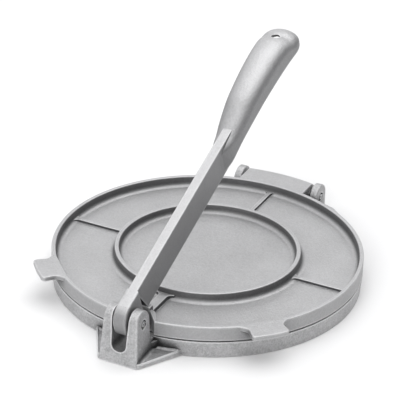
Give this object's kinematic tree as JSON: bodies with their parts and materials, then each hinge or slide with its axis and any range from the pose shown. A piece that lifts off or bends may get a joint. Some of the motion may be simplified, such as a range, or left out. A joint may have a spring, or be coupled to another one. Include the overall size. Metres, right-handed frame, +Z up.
{
  "type": "tortilla press",
  "caption": "Round press for flat bread: two flat plates joined by a rear hinge, with a front fork and a long lever with a hollow hand grip.",
  "frame": {"origin": "on the table, at the centre of the press seen from above, within a millimetre of the round plates' axis", "axes": "+Z up, +Y from the fork at the front to the hinge at the rear, +X to the right as seen from the fork"},
  "size_m": [0.2034, 0.247, 0.1362],
  "materials": {
    "base_casting": "satin sand-cast aluminium, fine grain",
    "lid_casting": "satin sand-cast aluminium, fine grain",
    "lever_casting": "satin sand-cast aluminium, smoothed grip",
    "spring_pin": "rolled spring steel"
  },
  "bodies": {
    "base": {"base_plate": "base_casting", "lever_pin": "spring_pin", "hinge_pin_left": "spring_pin", "hinge_pin_right": "spring_pin"},
    "lid": {"lid_plate": "lid_casting"},
    "lever": {"lever": "lever_casting"}
  },
  "joints": [
    {"name": "lever_swing", "type": "hinge", "parent": "base", "child": "lever", "pos_m": [0, -0.11235, 0.026], "axis": [1, 0, 0], "range_deg": [0, 157]},
    {"name": "lid_hinge", "type": "hinge", "parent": "base", "child": "lid", "pos_m": [0, 0.11485, 0.014], "axis": [-1, 0, 0], "range_deg": [0, 110]}
  ],
  "couplings": [
    {"joint": "lid_hinge", "follows": "lever_swing", "ratio": 0.11}
  ]
}
